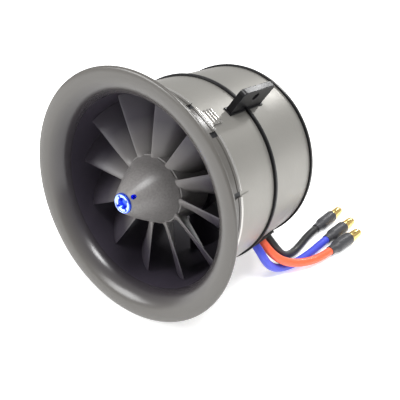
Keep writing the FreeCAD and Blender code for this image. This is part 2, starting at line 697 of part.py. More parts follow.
def prop_adapter():
    """Adapter clamped on the shaft: a flange behind the hub, and a threaded nose for the nut."""
    flange = "hub_front + boss_length"
    keep("prop_adapter", turned("prop_adapter", [
        ("0", "-spinner_tip + 2"), ("shaft_radius - 0.3", "-spinner_tip + 2"),
        ("shaft_radius", "-spinner_tip + 2.3"), ("shaft_radius", "hub_front - 1"),
        ("seat_radius", "hub_front - 1"), ("seat_radius", flange), ("6.4", flange),
        ("6.4", f"{flange} + 1.8"), ("shaft_radius", f"{flange} + 1.8"),
        ("shaft_radius", "shaft_front"), ("0", "shaft_front")]))


def spinner_nut():
    """Round nut with a chamfered rim, a hexagon socket and four shallow spanner notches."""
    face = "-nut_front"
    outline = [
        ("0", f"{face} + 1.9"), ("1.4", f"{face} + 1.9"), ("2.1", f"{face} + 0.35"),
        ("nut_radius - 0.75", f"{face} + 0.35"), ("nut_radius - 0.55", face), ("nut_radius - 0.3", face),
        ("nut_radius", f"{face} + 0.3"), ("nut_radius", "-spinner_tip"),
        ("nut_radius - nut_wall", "-spinner_tip"), ("nut_radius - nut_wall", "-spinner_tip + nut_depth"),
        ("nut_radius + 0.4", "-spinner_tip + nut_depth"),
        ("nut_radius + 0.4", "-spinner_tip + nut_depth + 1.2"),
        ("shaft_radius", "-spinner_tip + nut_depth + 1.2"), ("shaft_radius", "-spinner_tip + 2"),
        ("0", "-spinner_tip + 2"),
    ]
    body = turned("nut_body", outline)
    notches = []
    for index in range(4):
        notches.append(spoke("0.45", "1.7", "nut_radius - 0.9", str(20 + 90 * index), f"{face} + 0.35"))
    keep("spinner_nut", cut("spinner_nut", body, *notches))


# ---- leads -----------------------------------------------------------------------------------

# Each lead's place in the grommet, counted along the duct from the middle hole.
LEAD_PLACES = {"blue": -1, "orange": 0, "black": 1}

# Each free lead's route in the laid frame, after its straight run out of the grommet: down to the
# floor and along it. The points are chosen by hand, and the last is where the plug begins.
LEAD_ROUTES = {
    "orange": [(34.3, 12.8, 9.8), (37.8, 15.5, 7.0), (40.8, 19.8, 4.8), (43.4, 25.0, 3.5),
               (45.2, 30.5, 2.7), (46.6, 35.5, 2.7), (47.6, 40.5, 2.7)],
    "blue": [(33.4, 8.0, 10.0), (35.3, 10.2, 6.2), (36.8, 13.8, 3.4), (38.2, 19.0, 2.0),
             (39.7, 25.5, 1.8), (40.8, 33.0, 2.0), (41.8, 40.5, 2.7), (42.7, 47.0, 2.7)],
    "black": [(33.2, 17.5, 9.4), (34.9, 20.0, 5.8), (35.8, 24.0, 3.1), (35.8, 29.5, 1.8),
              (35.0, 36.5, 1.8), (34.5, 44.5, 2.7), (35.2, 52.0, 2.7)],
}


def lead_route(colour, laid):
    """Two points on the axis of the lead's hole in the grommet, then the points chosen for it."""
    station = size(f"lead_station + ({LEAD_PLACES[colour]}) * lead_pitch")
    exits = [laid.multVec(polar(size(out), size("lead_angle"), station))
             for out in ("bore_radius", "bore_radius + exit_run")]
    return exits + [Vector(*point) for point in LEAD_ROUTES[colour]]


def free_lead(colour, laid):
    """One silicone lead with its heat-shrink sleeve and its gold plug, lying on the floor."""
    route = lead_route(colour, laid)
    lead = rod(route, size("lead_radius"))
    nodes["lead_" + colour] = solid_of("lead_" + colour, lead)
    nodes["lead_" + colour].Label = "lead_" + colour
    runs = sum((after - before).Length for before, after in zip(route, route[1:]))
    expected = math.pi * size("lead_radius") ** 2 * runs
    print(colour, "radii", [round(bend, 1) for bend in bends_of(route)],
          "volume over section times length", round(lead.Volume / expected, 3))
    sleeve = turned("sleeve_" + colour, [
        ("lead_radius", "-shrink_lap"), ("lead_radius + 0.3", "-shrink_lap"), ("lead_radius + 0.3", "0.4"),
        ("shrink_radius", "2.6"), ("shrink_radius", "shrink_length - 0.6"),
        ("shrink_radius - 0.2", "shrink_length"), ("plug_radius + 0.35", "shrink_length"),
        ("plug_radius + 0.35", "2"), ("lead_radius", "0.8"),
    ])
    plug = turned("plug_body_" + colour, [
        ("0", "0"), ("lead_radius", "0"), ("lead_radius", "0.8"), ("plug_radius + 0.35", "2"),
        ("plug_radius + 0.35", "shrink_length + 0.9"), ("plug_radius", "shrink_length + 0.9"),
        ("plug_radius", "plug_end - 0.5"), ("plug_radius - 0.5", "plug_end"), ("0", "plug_end"),
    ])
    heading = (route[-1] - route[-2]).normalize()
    for name, piece in (("shrink_" + colour, sleeve), ("plug_" + colour, plug)):
        piece.Placement = Placement(route[-1], Rotation(Vector(0, 0, 1), heading))
        keep(name, piece)
    print(colour, "end", route[-1], "heading", heading)


# ---- the whole fan ---------------------------------------------------------------------------

def lay_down():
    """The placement that rests the fan on its rim and its black band, with the origin under it."""
    rise = size(RIM_CENTRE[0]) - size("band_radius")
    run = size("duct_end - flange_width") - size(RIM_CENTRE[1])
    pitch = math.degrees(math.atan2(rise, run) + math.asin(size("lip_wall / 2") / math.hypot(rise, run)))
    upright = Rotation(Vector(-1, 0, 0), Vector(0, 0, 1), Vector(0, 1, 0), "ZXY")
    turn = Rotation(Vector(1, 0, 0), -pitch).multiply(upright)
    laid = Placement(Vector(), turn.multiply(Rotation(Vector(0, 0, 1), size("roll"))))
    shapes = [piece.Shape.copy() for piece in nodes.values()]
    for shape in shapes:
        shape.Placement = laid
    whole = Part.Compound(shapes).optimalBoundingBox(False)
    laid.Base = -Vector(whole.Center.x, whole.Center.y, whole.ZMin)
    for piece in nodes.values():
        piece.Placement = laid
    print("fan origin", laid.Base, "pitch", pitch)
    return laid


def check_and_export():
    """Stops on any failed object or bad shape, then writes one file for each sub-part."""
    for item in doc.Objects:
        if {"Invalid", "Error"} & set(item.State):
            raise RuntimeError(f"{item.Name} failed: {item.State}")
    os.makedirs("parts", exist_ok=True)
    for name, piece in nodes.items():
        shape = piece.Shape
        if shape.isNull() or not shape.isValid():
            raise RuntimeError(f"{name} is not a valid shape")
        shape.exportStep(f"parts/{name}.step")
        print(f"{name:16s} {len(shape.Solids):3d} solids {shape.Volume:9.1f} mm3")


for build in (intake_lip, front_duct, mount_ring, mount_ears, rear_duct, outlet_band, motor_cup, stator_vanes,
              lead_fairing, lead_grommet, motor_base, motor_screws, stator_core, stator_windings,
              motor_wires, rotor_hub, rotor_blades, spinner, prop_adapter, spinner_nut, motor_shaft,
              motor_bell, motor_magnets, shaft_clip):
    build()
bearing("front_bearing", "cup_front + 2.3")
bearing("rear_bearing", "stack_rear - 1.2")
doc.recompute()
fan_place = lay_down()
for colour in LEAD_ROUTES:
    free_lead(colour, fan_place)
doc.recompute()
check_and_export()
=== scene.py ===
"""Looks of a 70 mm electric ducted fan that lies on a pale floor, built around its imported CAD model.

Most pieces are drawn in the fan's own frame, in millimetres: the axis is +Z and points with the
airflow, and a station is a distance along it from the joint between the intake lip and the duct.
"""

import json
import math

import bmesh
import bpy
from mathutils import Matrix, Vector


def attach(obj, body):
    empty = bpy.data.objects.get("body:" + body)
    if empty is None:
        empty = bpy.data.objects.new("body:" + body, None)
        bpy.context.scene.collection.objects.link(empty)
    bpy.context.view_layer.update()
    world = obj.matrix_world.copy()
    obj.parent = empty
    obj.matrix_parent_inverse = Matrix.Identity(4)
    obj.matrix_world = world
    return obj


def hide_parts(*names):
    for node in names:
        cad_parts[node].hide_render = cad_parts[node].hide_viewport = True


MM = 0.001

# How the fan lies: its origin in the model's frame, the dip of its axis and how far it is rolled.
ORIGIN = Vector((0.0, -24.9498, 43.4510))
DIP = math.radians(6.455)
ROLL = math.radians(-56.6)

# Sleeves, with the flange and the band at the outlet.
BORE = 35.0
SHELL = 36.4
DUCT_END = 58.5
FLANGE, FLANGE_WIDTH = 37.0, 0.8
BAND, BAND_START, BAND_END = 37.2, 56.6, 57.7

# Intake lip. LATCHES, CLIPS and SLOTS are directions about the axis. They and the widths are in degrees.
FLARE, FLARE_TURN, LIP_WALL = 7.6, math.radians(80.44), 1.5
SOCKET, SOCKET_END = 37.25, 7.4
LATCHES, LATCH_WIDTH, LATCH_HEIGHT, LATCH_LENGTH = (0, 180), 9, 0.8, 5.5
GRIPS, GRIP_START, GRIP_STEP, GRIP_LENGTH, GRIP_HEIGHT = 3, 1.2, 1.5, 0.6, 1.25
CLIPS, CLIP_WIDTH, CLIP_HEIGHT, CLIP_LENGTH = (56, 236), 29, 0.3, 4.9
SLOTS = (9, 189, -9, 171, 40, 72, 220, 252)
SLOT_WIDTH, SLOT_START, SLOT_FLOOR = 3.0, 3.6, SHELL + 0.25

# How far a plate is sunk into the sleeve under it, and how far it reaches in under the bead.
SUNK, LAP = 0.001, 0.5

# Mounting ring, and its ears with a foot along the root of each. EARS and FOOT_WIDTH are in degrees.
RING_START, RING_END, RING_OUT = 28.75, 30.05, 37.3
EARS, EAR_START, EAR_END, EAR_TIP, EAR_HALF, EAR_CORNER = (0, 180), 19.6, 39.2, 45.7, 1.15, 1.6
EAR_HOLE, EAR_HOLE_OUT, EAR_HOLE_STATION = 1.5, 42.3, 29.4
FOOT_WIDTH, FOOT_HEIGHT = 5.67, 0.45

# Rotor. HUB_NOSE and HUB_TAIL are the hub's radii at its two ends.
HUB_FRONT, HUB_REAR, HUB_NOSE, HUB_TAIL, HUB_WALL, HUB_FLOOR = 7.1, 20.8, 12.9, 14.6, 1.4, 2.4
BOSS, BOSS_BORE, BOSS_LENGTH = 7, 4, 8
BLADES, FIRST_BLADE, BLADE_FRONT, BLADE_TIP = 12, 9.0, 6.4, 34.6
SPINNER_TIP, SPINNER_NOSE, SPINNER_REAR, SPINNER_RIM, SPINNER_BOW = -7.7, 3.95, 6.68, 12.44, 80.0
SPIGOT, SPINNER_INSIDE = 12.0, 10.4
NUT, NUT_NECK, NUT_FACE, NUT_DEPTH = 3.6, 2.7, -8.57, 4.2
CROSS_HOLE, CROSS_HOLE_FLOOR, CROSS_HOLE_ANGLE, CROSS_HOLE_STATION = 0.8, 2.0, 195, -6.6

# Motor cup and vanes.
STRUTS, VANE_CHORD, VANE_MIDDLE = 8, 17.5, RING_END + 9.6
CUP, CUP_FRONT, CUP_REAR, CUP_WALL, CUP_HOLE = 15.4, 21.5, 50.0, 1, 5.2
WIRE_GAP, WIRE_GAP_STATION = 2.1, CUP_FRONT + 4.3

# Leads, where they leave the duct, and what is on their ends.
LEAD_ANGLE, LEAD_STATION, LEAD_PITCH = 276.6, 40.0, 4.5
LEAD_RADIUS = 1.7
EXIT_RUN = 4.6
SHRINK, SHRINK_LENGTH = 2.7, 12.0
PLUG_COLLAR, PLUG_PIN, PLUG_END = 2.35, 2.0, 19.4

# The camera, in metres, with its lens in millimetres on a sensor 36 mm wide.
CAMERA_PLACE = Vector((0.10622, -0.13130, 0.13362))
CAMERA_HEADING = Vector((-0.51212, 0.67960, -0.52524))
CAMERA_LENS, SENSOR = 45.57, 36.0

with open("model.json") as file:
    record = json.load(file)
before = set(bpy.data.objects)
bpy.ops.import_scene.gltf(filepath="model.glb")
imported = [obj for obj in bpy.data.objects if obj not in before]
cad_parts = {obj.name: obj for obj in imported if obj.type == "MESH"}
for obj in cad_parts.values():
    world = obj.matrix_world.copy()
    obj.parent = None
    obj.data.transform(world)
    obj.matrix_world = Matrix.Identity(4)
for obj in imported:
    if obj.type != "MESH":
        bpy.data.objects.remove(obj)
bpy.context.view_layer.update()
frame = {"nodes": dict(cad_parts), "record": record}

BODY = {node: body for body, group in frame["record"]["behaviour"]["bodies"].items() for node in group}
SLOT = {part["node"]: part["material_slot"] for part in frame["record"]["subparts"]}

UPRIGHT = Matrix(((-1, 0, 0), (0, 0, 1), (0, 1, 0)))
TURN = Matrix.Rotation(-DIP, 3, "X") @ UPRIGHT @ Matrix.Rotation(ROLL, 3, "Z")
FAN = Matrix.Translation(ORIGIN * MM) @ TURN.to_4x4() @ Matrix.Scale(MM, 4)
AXIS = TURN @ Vector((0, 0, 1))


# ---- materials -------------------------------------------------------------------------------

def paint(name, colour, roughness, metallic=0.0, specular=0.5, coat=0.0, mottle=0.0, grain=0.0,
          grain_size=0.0012, wear=0.0, outer=None, fade=(0.0, 1.0)):
    """A principled material. mottle varies the colour, grain is a fine bump, wear varies the
    roughness in soft patches, and outer is the colour that the first one turns into with the distance
    from the fan's axis, between the two distances of fade in millimetres. Both uses of outer here
    paint shade: the darker throat and the darker blade tips."""
    material = bpy.data.materials.new(name)
    material.use_nodes = True
    tree = material.node_tree
    shader = tree.nodes["Principled BSDF"]
    shader.inputs["Roughness"].default_value = roughness
    shader.inputs["Metallic"].default_value = metallic
    shader.inputs["Specular IOR Level"].default_value = specular
    shader.inputs["Coat Weight"].default_value = coat
    shader.inputs["Coat Roughness"].default_value = 0.12
    shader.inputs["Base Color"].default_value = (*colour, 1)
    place = tree.nodes.new("ShaderNodeTexCoord")

    def noise(cell, detail=3.0):
        texture = tree.nodes.new("ShaderNodeTexNoise")
        texture.inputs["Scale"].default_value = 1 / cell
        texture.inputs["Detail"].default_value = detail
        tree.links.new(place.outputs["Object"], texture.inputs["Vector"])
        return texture.outputs["Fac"]

    def ramp(source, low, high, start=0.35, end=0.65):
        spread = tree.nodes.new("ShaderNodeMapRange")
        spread.inputs["From Min"].default_value = start
        spread.inputs["From Max"].default_value = end
        spread.inputs["To Min"].default_value = low
        spread.inputs["To Max"].default_value = high
        tree.links.new(source, spread.inputs["Value"])
        return spread.outputs["Result"]

    if mottle:
        blend = tree.nodes.new("ShaderNodeMix")
        blend.data_type = "RGBA"
        blend.inputs["A"].default_value = (*(c * (1 - mottle) for c in colour), 1)
        blend.inputs["B"].default_value = (*(min(1, c * (1 + mottle)) for c in colour), 1)
        tree.links.new(ramp(noise(0.0007, 4.0), 0, 1), blend.inputs["Factor"])
        tree.links.new(blend.outputs["Result"], shader.inputs["Base Color"])
    if outer:
        reach = tree.nodes.new("ShaderNodeVectorMath")
        reach.operation = "SUBTRACT"
        reach.inputs[1].default_value = ORIGIN * MM
        across = tree.nodes.new("ShaderNodeVectorMath")
        across.operation = "CROSS_PRODUCT"
        across.inputs[1].default_value = AXIS
        span = tree.nodes.new("ShaderNodeVectorMath")
        span.operation = "LENGTH"
        blend = tree.nodes.new("ShaderNodeMix")
        blend.data_type = "RGBA"
        blend.inputs["A"].default_value = (*colour, 1)
        blend.inputs["B"].default_value = (*outer, 1)
        tree.links.new(place.outputs["Object"], reach.inputs[0])
        tree.links.new(reach.outputs["Vector"], across.inputs[0])
        tree.links.new(across.outputs["Vector"], span.inputs[0])
        tree.links.new(ramp(span.outputs["Value"], 0, 1, fade[0] * MM, fade[1] * MM),
                       blend.inputs["Factor"])
        tree.links.new(blend.outputs["Result"], shader.inputs["Base Color"])
    if wear:
        tree.links.new(ramp(noise(0.012), roughness - wear, roughness + wear), shader.inputs["Roughness"])
    if grain:
        bump = tree.nodes.new("ShaderNodeBump")
        bump.inputs["Strength"].default_value = grain
        bump.inputs["Distance"].default_value = 0.0002
        tree.links.new(noise(grain_size, 4.0), bump.inputs["Height"])
        tree.links.new(bump.outputs["Normal"], shader.inputs["Normal"])
    return material


LIP_COLOUR = (0.084, 0.079, 0.072)

LOOKS = {
    "sleeve": paint("sleeve", (0.275, 0.267, 0.247), 0.46, metallic=0.6, wear=0.03, grain=0.12),
    # bore: the duct's inside, near-black in its own colour and darkened further as painted shade.
    "bore": paint("bore", (0.032, 0.027, 0.038), 0.5, specular=0.25),
    "lip": paint("lip", LIP_COLOUR, 0.25, specular=0.55, grain=0.05),
    # flare: the lip's colour darkening into the throat, a painted shade.
    "flare": paint("flare", (0.032, 0.028, 0.033), 0.25, specular=0.55, grain=0.05,
                   outer=LIP_COLOUR, fade=(BORE, BORE + 5.0)),
    # collar: glossy, and painted a bright metal colour as a painted highlight on the bead and latches.
    "collar": paint("collar", (0.50, 0.49, 0.47), 0.2, metallic=0.8),
    "trim": paint("trim", (0.004, 0.004, 0.005), 0.34, specular=0.25, wear=0.03),
    "stator": paint("stator", (0.022, 0.018, 0.026), 0.42, specular=0.3, grain=0.05),
    "rotor": paint("rotor", (0.175, 0.167, 0.163), 0.31, mottle=0.10, grain=0.25, grain_size=0.0005),
    # blades: grey at the root, darkening towards the tips as painted shade.
    "blades": paint("blades", (0.165, 0.156, 0.152), 0.38, specular=0.4, grain=0.15,
                    grain_size=0.0005, outer=(0.037, 0.032, 0.042), fade=(HUB_NOSE, 0.74 * BLADE_TIP)),
    "nut_blue": paint("nut_blue", (0.05, 0.12, 0.85), 0.22, metallic=0.85, grain=0.03),
    # nut_face_painted_highlight: the nut's blue made lighter on its face and rim, a painted highlight.
    "nut_face_painted_highlight": paint("nut_face_painted_highlight", (0.42, 0.55, 1.0), 0.18, metallic=0.9, grain=0.03),
    "adapter": paint("adapter", (0.70, 0.70, 0.72), 0.3, metallic=1.0, wear=0.05),
    "steel": paint("steel", (0.55, 0.55, 0.57), 0.28, metallic=1.0, wear=0.06),
    "bell": paint("bell", (0.05, 0.05, 0.055), 0.36, metallic=0.6, grain=0.05),
    "motor_base": paint("motor_base", (0.45, 0.45, 0.47), 0.36, metallic=1.0, wear=0.05),
    "screw_black": paint("screw_black", (0.03, 0.03, 0.03), 0.35, metallic=0.7, wear=0.05),
    "magnet": paint("magnet", (0.6, 0.6, 0.6), 0.25, metallic=1.0, wear=0.04),
    "laminations": paint("laminations", (0.22, 0.23, 0.25), 0.5, metallic=0.6, grain=0.05),
    "copper": paint("copper", (0.72, 0.30, 0.12), 0.3, metallic=0.9, mottle=0.2, grain=0.2),
    "grommet": paint("grommet", (0.02, 0.02, 0.02), 0.6, grain=0.08),
    "lead_orange": paint("lead_orange", (0.93, 0.13, 0.05), 0.42, coat=0.15, grain=0.06, mottle=0.05),
    "lead_blue": paint("lead_blue", (0.05, 0.07, 0.62), 0.42, coat=0.15, grain=0.06, mottle=0.05),
    "lead_black": paint("lead_black", (0.014, 0.014, 0.015), 0.45, coat=0.1, grain=0.06, mottle=0.1),
    "heat_shrink": paint("heat_shrink", (0.045, 0.045, 0.05), 0.4, grain=0.15, mottle=0.1),
    "gold": paint("gold", (0.83, 0.60, 0.22), 0.26, metallic=1.0, wear=0.06),
}


# ---- meshes ----------------------------------------------------------------------------------

def solid(name, points, faces):
    """An object from points and faces, still in the fan's frame and in millimetres."""
    mesh = bpy.data.meshes.new(name)
    mesh.from_pydata([tuple(point) for point in points], [], faces)
    grid = bmesh.new()
    grid.from_mesh(mesh)
    bmesh.ops.recalc_face_normals(grid, faces=grid.faces)
    grid.to_mesh(mesh)
    grid.free()
    piece = bpy.data.objects.new(name, mesh)
    bpy.context.scene.collection.objects.link(piece)
    return piece


def baked(piece):
    """Applies the modifiers of a piece."""
    graph = bpy.context.evaluated_depsgraph_get()
    graph.update()
    mesh = bpy.data.meshes.new_from_object(piece.evaluated_get(graph))
    piece.modifiers.clear()
    piece.data = mesh
    return piece


def combine(piece, others, operation):
    """Adds the others to a piece (UNION) or takes them out of it (DIFFERENCE)."""
    for other in others:
        change = piece.modifiers.new("combine", "BOOLEAN")
        change.object = other
        change.operation = operation
        change.solver = "EXACT"
    baked(piece)
    for other in others:
        bpy.data.objects.remove(other)
    return piece


def soften(piece, width, segments=2, angle=40):
    """Rounds the sharp edges of a piece."""
    change = piece.modifiers.new("soften", "BEVEL")
    change.width = width
    change.segments = segments
    change.limit_method = "ANGLE"
    change.angle_limit = math.radians(angle)
    return baked(piece)


def shade(piece, sharp=38):
    """Smooth shading that breaks at sharp edges and keeps flat faces flat."""
    grid = bmesh.new()
    grid.from_mesh(piece.data)
    for face in grid.faces:
        face.smooth = True
    for edge in grid.edges:
        edge.smooth = len(edge.link_faces) == 2 and edge.calc_face_angle(0) < math.radians(sharp)
    grid.to_mesh(piece.data)
    grid.free()
    change = piece.modifiers.new("flat_faces", "WEIGHTED_NORMAL")
    change.keep_sharp = True


def settle(piece, *nodes, place=FAN, sharp=38, look=None):
    """Lays a finished piece in the model's frame, in place of its CAD nodes."""
    piece.data.transform(place)
    shade(piece, sharp)
    piece.data.materials.clear()
    piece.data.materials.append(LOOKS[look or SLOT[nodes[0]]])
    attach(piece, BODY[nodes[0]])
    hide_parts(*nodes)
    return piece


def repaint(piece, look, chosen):
    """One more material, for the faces of a settled piece that chosen(centre) picks in the fan's frame."""
    piece.data.materials.append(LOOKS[look])
    back = FAN.inverted()
    for face in piece.data.polygons:
        if chosen(back @ face.center):
            face.material_index = len(piece.data.materials) - 1


def in_bore(centre):
    """The duct's inside, painted dark: partly its own near-black colour and partly painted shade."""
    return math.hypot(centre.x, centre.y) < BORE + 0.05


def on_flare_painted_shade(centre):
    """The inside of the bell mouth, from the throat to its rolled rim, which takes the painted shade of the
    throat.
    """
    from_crest = math.hypot(math.hypot(centre.x, centre.y) - BORE - FLARE, centre.z)
    return centre.z < 0.1 and from_crest > FLARE - 0.1


def on_collar_painted_highlight(centre):
    """The bead at the socket's edge and the latches behind it, which are glossy and painted bright as a
    painted highlight.
    """
    return centre.z > SOCKET_END - 0.7 and math.hypot(centre.x, centre.y) > SHELL + 0.1


def on_clip(centre):
    """The long clips, which have the sleeve's finish."""
    out = math.hypot(centre.x, centre.y)
    return centre.z > SOCKET_END + 0.05 and SHELL + 0.1 < out < SHELL + CLIP_HEIGHT + 0.05


def in_slot_painted_shade(centre):
    """The floor of the slots in the socket's edge, painted near-black as painted shade in the slots."""
    out = math.hypot(centre.x, centre.y)
    return SLOT_START < centre.z < SOCKET_END and SLOT_FLOOR - 0.05 < out < SLOT_FLOOR + 0.05


def in_cross_hole(centre):
    """The wall of the hole across the spinner, blue like the nut's neck behind it."""
    turn = math.radians(CROSS_HOLE_ANGLE)
    out = Vector((math.cos(turn), math.sin(turn), 0))
    offset = centre - Vector((0, 0, CROSS_HOLE_STATION))
    along = offset.dot(out)
    return along > CROSS_HOLE_FLOOR and (offset - out * along).length < CROSS_HOLE + 0.01


def rounded(corners, steps=4):
    """A closed outline of (radius, station[, rounding]) with its corners rounded."""
    points = []
    for index, corner in enumerate(corners):
        here = Vector(corner[:2])
        if len(corner) == 2:
            points.append(here)
            continue
        before = (Vector(corners[index - 1][:2]) - here).normalized()
        after = (Vector(corners[(index + 1) % len(corners)][:2]) - here).normalized()
        half = before.angle(after) / 2
        centre = here + (before + after).normalized() * (corner[2] / math.sin(half))
        start = here + before * (corner[2] / math.tan(half)) - centre
        end = here + after * (corner[2] / math.tan(half)) - centre
        sweep = start.angle_signed(end)
        for step in range(steps + 1):
            share = sweep * step / steps
            points.append(centre + Matrix.Rotation(-share, 2) @ start)
    return points


def arc(centre, radius, first, last, steps):
    """Points along an arc in the plane of radius and station, from one angle to another, in radians."""
    angles = [first + (last - first) * step / steps for step in range(steps + 1)]
    return [Vector((centre[0] + radius * math.cos(a), centre[1] + radius * math.sin(a))) for a in angles]


def lathe(name, outline, segments=192, width=360.0, centre=0.0):
    """A closed outline of (radius, station) turned about the axis, or over width degrees of it."""
    whole = width >= 360
    turns = [math.radians(centre - width / 2 + width * step / segments)
             for step in range(segments if whole else segments + 1)]
    points, faces = [], []
    count = len(outline)
    for turn in turns:
        for radius, station in outline:
            points.append((radius * math.cos(turn), radius * math.sin(turn), station))
    for step in range(segments):
        near, far = step * count, (step + 1) % len(turns) * count
        for index in range(count):
            following = (index + 1) % count
            faces.append((near + index, near + following, far + following, far + index))
    if not whole:
        faces.append(tuple(range(count)))
        faces.append(tuple(range(segments * count, (segments + 1) * count)))
    piece = solid(name, points, faces)
    if min(radius for radius, station in outline) < 1e-6:
        grid = bmesh.new()
        grid.from_mesh(piece.data)
        bmesh.ops.remove_doubles(grid, verts=grid.verts, dist=1e-5)
        grid.to_mesh(piece.data)
        grid.free()
    return piece


def plate(name, inner, outer, start, end, width, centre, soft=0.12, segments=16):
    """A curved plate on the duct, width degrees wide about the direction centre."""
    outline = [Vector((inner, start)), Vector((outer, start)), Vector((outer, end)), Vector((inner, end))]
    return soften(lathe(name, outline, segments, width, centre), soft)


def bar(name, radius, inner, outer, angle, station, sides=40):
    """A round bar that points out from the axis."""
    out = Vector((math.cos(math.radians(angle)), math.sin(math.radians(angle)), 0))
    side = Vector((-out.y, out.x, 0))
    points = []
    for reach in (inner, outer):
        for step in range(sides):
            turn = 2 * math.pi * step / sides
            points.append(out * reach + side * (radius * math.cos(turn))
                          + Vector((0, 0, station + radius * math.sin(turn))))
    faces = [(step, (step + 1) % sides, sides + (step + 1) % sides, sides + step) for step in range(sides)]
    faces += [tuple(range(sides)), tuple(range(sides, 2 * sides))]
    return solid(name, points, faces)


def block(name, low, high, angle=0.0):
    """A box in the fan's frame between two corners, turned about the axis."""
    points = [(x, y, z) for x in (low[0], high[0]) for y in (low[1], high[1]) for z in (low[2], high[2])]
    faces = [(0, 1, 3, 2), (4, 6, 7, 5), (0, 4, 5, 1), (2, 3, 7, 6), (0, 2, 6, 4), (1, 5, 7, 3)]
    piece = solid(name, points, faces)
    piece.data.transform(Matrix.Rotation(math.radians(angle), 4, "Z"))
    return piece


# ---- duct ------------------------------------------------------------------------------------

def intake_lip():
    """Bell mouth with its rolled rim, the socket with its bead, and the clips that hold the duct."""
    crest = BORE + FLARE
    middle = FLARE - LIP_WALL / 2
    inner = FLARE - LIP_WALL
    end = 2 * math.pi - FLARE_TURN
    foot = 2 * math.pi - math.acos((SOCKET - crest) / inner)
    outline = arc((crest, 0), FLARE, math.pi, end, 44)
    outline += arc((crest + middle * math.cos(end), middle * math.sin(end)), LIP_WALL / 2,
                   end, end + math.pi, 10)[1:]
    outline += arc((crest, 0), inner, end, foot, 30)[1:]
    outline += rounded([
        (SOCKET, -2), (SOCKET, SOCKET_END - 2.25, 0.1), (SOCKET - 0.35, SOCKET_END - 2.1, 0.1),
        (SOCKET - 0.35, SOCKET_END - 1.8, 0.1), (SOCKET, SOCKET_END - 1.65, 0.1),
        (SOCKET, SOCKET_END - 0.65, 0.12), (SOCKET + 0.3, SOCKET_END - 0.45, 0.12),
        (SOCKET + 0.3, SOCKET_END, 0.15), (SHELL, SOCKET_END), (SHELL, 0)])[1:]
    lip = lathe("intake_lip", outline, 224)
    clips = []
    for centre in LATCHES:
        clips.append(plate("latch", SHELL - SUNK, SHELL + LATCH_HEIGHT,
                           SOCKET_END - LAP, SOCKET_END + LATCH_LENGTH, LATCH_WIDTH, centre))
    for centre in CLIPS:
        clips.append(plate("clip", SHELL - SUNK, SHELL + CLIP_HEIGHT,
                           SOCKET_END - LAP, SOCKET_END + CLIP_LENGTH, CLIP_WIDTH, centre))
    slots = [plate("slot", SLOT_FLOOR, SOCKET + 2, SLOT_START, SOCKET_END + 0.2, SLOT_WIDTH, centre,
                   0.0001, 4) for centre in SLOTS]
    combine(lip, slots, "DIFFERENCE")
    combine(lip, clips, "UNION")
    for centre in LATCHES:
        for ridge in range(GRIPS):
            start = SOCKET_END + GRIP_START + GRIP_STEP * ridge
            grip = plate("grip", SHELL + LATCH_HEIGHT / 2, SHELL + GRIP_HEIGHT,
                         start, start + GRIP_LENGTH, LATCH_WIDTH, centre, 0.15)
            combine(lip, [grip], "UNION")
    settle(lip, "intake_lip")
    # The flare darkens into the throat: painted shade.
    repaint(lip, "flare", on_flare_painted_shade)
    # The bead and latches: glossy, with a bright metal colour as a painted highlight.
    repaint(lip, "collar", on_collar_painted_highlight)
    repaint(lip, "sleeve", on_clip)
    # The slot floors are painted near-black: painted shade in the slots.
    repaint(lip, "trim", in_slot_painted_shade)


def sleeves():
    """The two sleeves, with fine rounded edges; the rear one has the slot for the grommet."""
    front = lathe("front_sleeve", rounded([
        (BORE, 0), (SHELL, 0), (SHELL, RING_START, 0.15), (BORE, RING_START)]), 224)
    # The sleeves' bores take the dark bore look, which is partly painted shade.
    repaint(settle(front, "front_duct"), "bore", in_bore)
    rear = lathe("rear_sleeve", rounded([
        (BORE, RING_END), (SHELL, RING_END, 0.15), (SHELL, DUCT_END - FLANGE_WIDTH),
        (FLANGE, DUCT_END - FLANGE_WIDTH, 0.1), (FLANGE, DUCT_END, 0.25), (BORE, DUCT_END, 0.3)]), 224)
    combine(rear, slot_shape(LEAD_RADIUS + 1.0, BORE - 3, SHELL + 3), "DIFFERENCE")
    repaint(settle(rear, "rear_duct"), "bore", in_bore)


def slot_shape(half_width, inner, outer):
    """The long hole for the three leads: a bar at each end and a block between."""
    shapes = [bar("slot_end", half_width, inner, outer, LEAD_ANGLE, LEAD_STATION + shift)
              for shift in (-LEAD_PITCH, LEAD_PITCH)]
    shapes.append(block("slot_middle", (inner, -half_width, LEAD_STATION - LEAD_PITCH),
                        (outer, half_width, LEAD_STATION + LEAD_PITCH), LEAD_ANGLE))
    return shapes


def tip_corners(ear):
    """The edges across an ear's thickness at its tip."""
    chosen = []
    for edge in ear.data.edges:
        ends = [ear.data.vertices[index].co for index in edge.vertices]
        if min(end.x for end in ends) > EAR_TIP - EAR_CORNER and abs(ends[0].y - ends[1].y) > EAR_HALF:
            chosen.append(edge)
    return chosen


